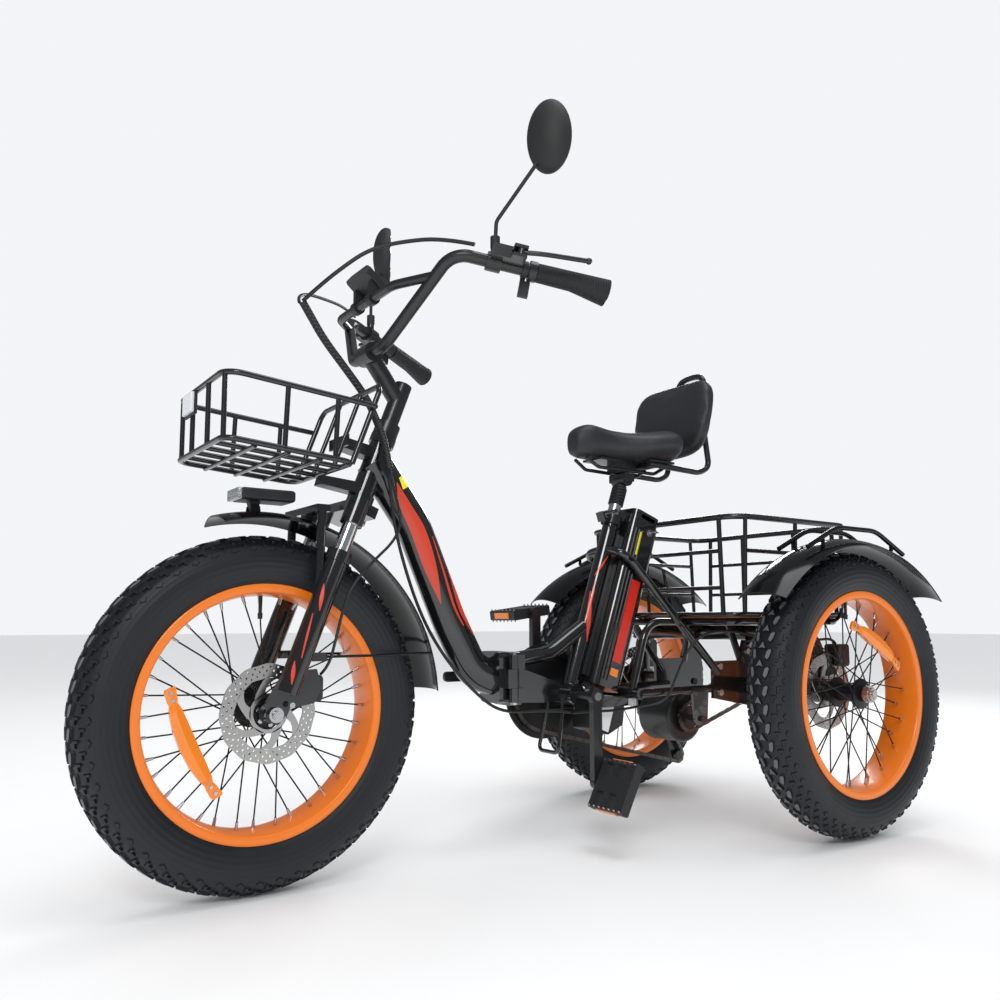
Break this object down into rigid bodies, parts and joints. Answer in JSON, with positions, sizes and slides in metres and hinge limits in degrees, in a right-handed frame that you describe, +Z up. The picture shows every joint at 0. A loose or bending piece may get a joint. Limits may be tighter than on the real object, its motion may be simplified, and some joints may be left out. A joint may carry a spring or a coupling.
{
  "type": "adult electric tricycle",
  "caption": "Folding three-wheeler with fat tyres, front and rear wire baskets, padded saddle with backrest, mid-mounted battery, mudguards, mirrors and disc brakes.",
  "frame": {"origin": "on the ground, under the centre of the whole machine's box", "axes": "+X forward, +Y to the rider's left, +Z up"},
  "size_m": [1.729, 0.794, 1.3499],
  "materials": {
    "frame": "gloss black powder coat",
    "black_metal": "satin black paint",
    "basket": "black powder coat",
    "rim_paint": "gloss orange paint with black walls",
    "fender": "gloss black",
    "plastic": "textured black",
    "gloss_black": "gloss black",
    "tyre": "knobbed rubber",
    "chrome": "polished",
    "steel": "bright steel",
    "alloy": "machined",
    "chain": "oiled steel",
    "rubber": "moulded black rubber",
    "leather": "black leatherette, stitched",
    "board": "brown board",
    "battery_case": "black anodised",
    "mirror": "black shell with mirror glass",
    "fork_paint": "gloss black paint"
  },
  "bodies": {
    "rear_frame": {"rear_frame": "frame", "rear_calipers": "black_metal", "rear_fenders": "fender", "rear_basket": "basket", "basket_board": "board", "battery_cradle": "plastic", "seat_collar": "black_metal", "rear_brake_cables": "rubber", "crank_chain": "chain", "axle_chain": "chain", "derailleur": "black_metal"},
    "front_frame": {"front_frame": "frame", "front_basket": "basket", "basket_brackets": "black_metal", "frame_cables": "rubber"},
    "fold_latch": {"fold_latch": "black_metal"},
    "steering": {"fork_crown": "fork_paint", "fork_stanchions": "chrome", "steering_post": "black_metal", "handlebar": "black_metal", "grips": "rubber", "lever_perches": "black_metal", "display": "gloss_black", "shifter": "plastic", "control_cables": "rubber"},
    "fork_lowers": {"fork_lowers": "fork_paint", "front_fender": "fender", "front_caliper": "black_metal", "front_axle": "steel"},
    "front_wheel": {"front_tyre": "tyre", "front_rim": "rim_paint", "front_hub": "steel", "front_rotor": "alloy"},
    "headlight": {"headlight": "plastic"},
    "brake_lever_left": {"brake_lever_left": "black_metal"},
    "brake_lever_right": {"brake_lever_right": "black_metal"},
    "mirror_left": {"mirror_left": "mirror"},
    "mirror_right": {"mirror_right": "mirror"},
    "throttle": {"throttle": "plastic"},
    "seat_post": {"seat_post": "alloy"},
    "seat_lever": {"seat_lever": "black_metal"},
    "saddle": {"post_head": "black_metal", "seat_boot": "rubber", "saddle": "leather", "saddle_frame": "steel", "backrest": "leather"},
    "battery": {"battery": "battery_case"},
    "battery_key": {"battery_key": "steel"},
    "crankset": {"crankset": "black_metal"},
    "pedal_left": {"pedal_left": "plastic"},
    "pedal_right": {"pedal_right": "plastic"},
    "motor": {"motor_drum": "black_metal"},
    "left_wheel": {"left_tyre": "tyre", "left_rim": "rim_paint", "left_hub": "steel", "left_rotor": "alloy"},
    "right_wheel": {"right_tyre": "tyre", "right_rim": "rim_paint", "right_hub": "steel", "right_rotor": "alloy"}
  },
  "joints": [
    {"name": "frame_fold", "type": "hinge", "parent": "rear_frame", "child": "front_frame", "pos_m": [0.0745, 0.044, 0.33], "axis": [0, 0, 1], "range_deg": [0, 95], "deforming": ["frame_cables"]},
    {"name": "fold_latch", "type": "hinge", "parent": "front_frame", "child": "fold_latch", "pos_m": [0.0905, -0.045, 0.332], "axis": [0, 0, -1], "range_deg": [0, 110]},
    {"name": "steering", "type": "hinge", "parent": "front_frame", "child": "steering", "pos_m": [0.37476, 0, 0.69949], "axis": [-0.3584, 0, 0.9336], "range_deg": [-45, 45], "deforming": ["control_cables"]},
    {"name": "fork_travel", "type": "slide", "parent": "steering", "child": "fork_lowers", "axis": [-0.3584, 0, 0.9336], "range_m": [0, 0.028], "stiffness_N_per_m": 14000, "springref_m": -0.012},
    {"name": "front_wheel", "type": "hinge", "parent": "fork_lowers", "child": "front_wheel", "pos_m": [0.5715, 0, 0.293], "axis": [0, 1, 0], "continuous": true},
    {"name": "headlight_tilt", "type": "hinge", "parent": "fork_lowers", "child": "headlight", "pos_m": [0.5885, 0, 0.632], "axis": [0, -1, 0], "range_deg": [-10, 10]},
    {"name": "brake_left", "type": "hinge", "parent": "steering", "child": "brake_lever_left", "pos_m": [0.23831, 0.2937, 1.06283], "axis": [-0.1624, 0.0747, 0.9839], "range_deg": [0, 15], "stiffness_Nm_per_rad": 1.5, "springref_deg": -11.46},
    {"name": "brake_right", "type": "hinge", "parent": "steering", "child": "brake_lever_right", "pos_m": [0.23831, -0.2937, 1.06283], "axis": [0.1624, 0.0747, -0.9839], "range_deg": [0, 15], "stiffness_Nm_per_rad": 1.5, "springref_deg": -11.46},
    {"name": "throttle", "type": "hinge", "parent": "steering", "child": "throttle", "pos_m": [0.20709, 0.25963, 1.05112], "axis": [0.8939, -0.4112, 0.1788], "range_deg": [0, 40], "stiffness_Nm_per_rad": 0.3, "springref_deg": -11.46},
    {"name": "mirror_left", "type": "hinge", "parent": "steering", "child": "mirror_left", "pos_m": [0.25398, 0.23806, 1.07472], "axis": [0, 0, 1], "range_deg": [-30, 30]},
    {"name": "mirror_right", "type": "hinge", "parent": "steering", "child": "mirror_right", "pos_m": [0.25398, -0.23806, 1.07472], "axis": [0, 0, 1], "range_deg": [-30, 30]},
    {"name": "seat_height", "type": "slide", "parent": "rear_frame", "child": "seat_post", "axis": [-0.3328, 0, 0.943], "range_m": [0, 0.12]},
    {"name": "seat_suspension", "type": "slide", "parent": "seat_post", "child": "saddle", "axis": [-0.3328, 0, 0.943], "range_m": [-0.025, 0], "stiffness_N_per_m": 20000, "springref_m": 0.008},
    {"name": "seat_lever", "type": "hinge", "parent": "rear_frame", "child": "seat_lever", "pos_m": [-0.20227, 0.015, 0.67198], "axis": [0, 1, 0], "range_deg": [0, 100]},
    {"name": "battery_slide", "type": "slide", "parent": "rear_frame", "child": "battery", "axis": [-0.3328, 0, 0.943], "range_m": [0, 0.07]},
    {"name": "battery_key", "type": "hinge", "parent": "battery", "child": "battery_key", "pos_m": [-0.29984, 0.04, 0.63595], "axis": [0, 1, 0], "range_deg": [0, 90]},
    {"name": "crank", "type": "hinge", "parent": "rear_frame", "child": "crankset", "pos_m": [-0.0865, 0, 0.292], "axis": [0, 1, 0], "continuous": true},
    {"name": "pedal_left", "type": "hinge", "parent": "crankset", "child": "pedal_left", "pos_m": [-0.0865, 0.15, 0.124], "axis": [0, 1, 0], "continuous": true},
    {"name": "pedal_right", "type": "hinge", "parent": "crankset", "child": "pedal_right", "pos_m": [-0.0865, -0.15, 0.46], "axis": [0, 1, 0], "continuous": true},
    {"name": "motor", "type": "hinge", "parent": "rear_frame", "child": "motor", "pos_m": [-0.4015, 0, 0.228], "axis": [0, 1, 0], "continuous": true},
    {"name": "left_wheel", "type": "hinge", "parent": "rear_frame", "child": "left_wheel", "pos_m": [-0.5715, 0.34, 0.293], "axis": [0, 1, 0], "continuous": true},
    {"name": "right_wheel", "type": "hinge", "parent": "rear_frame", "child": "right_wheel", "pos_m": [-0.5715, -0.34, 0.293], "axis": [0, 1, 0], "continuous": true}
  ],
  "couplings": [
    {"joint": "motor", "follows": "left_wheel", "ratio": 1.4}
  ]
}
